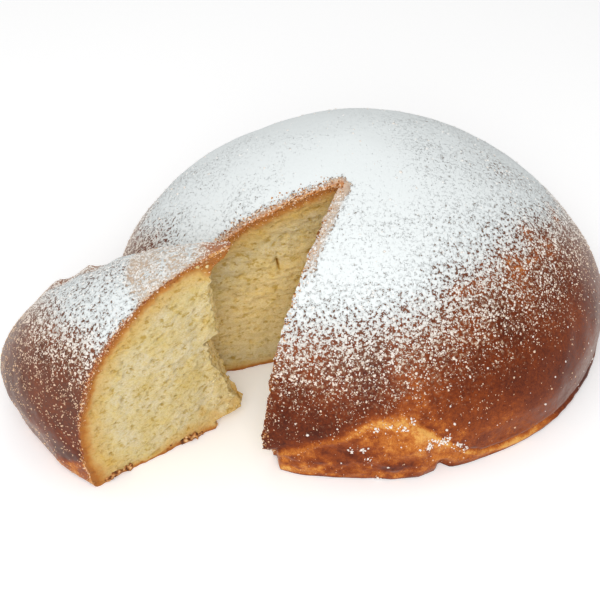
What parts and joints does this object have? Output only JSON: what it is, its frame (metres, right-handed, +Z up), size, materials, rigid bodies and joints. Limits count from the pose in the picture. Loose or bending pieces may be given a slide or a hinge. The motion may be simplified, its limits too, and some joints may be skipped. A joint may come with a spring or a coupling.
{
  "type": "sweet brioche loaf",
  "caption": "Round domed sweet bread dusted with icing sugar, with a wedge cut, torn at its tip and swung out to one side, showing pale crumb.",
  "frame": {"origin": "middle of the bread's footprint box, on the surface it stands on", "axes": "+X to the right along the longest way across the loaf and its swung-out wedge, +Y away from the cut, +Z up"},
  "size_m": [0.3031, 0.2352, 0.109],
  "materials": {
    "crust": "baked brown crust with a faint egg-wash gloss",
    "crumb": "soft pale yellow bread crumb with small pores",
    "icing_sugar": "fine matt white powder in small clumps"
  },
  "bodies": {
    "root": {"loaf": "crust"}
  },
  "joints": []
}
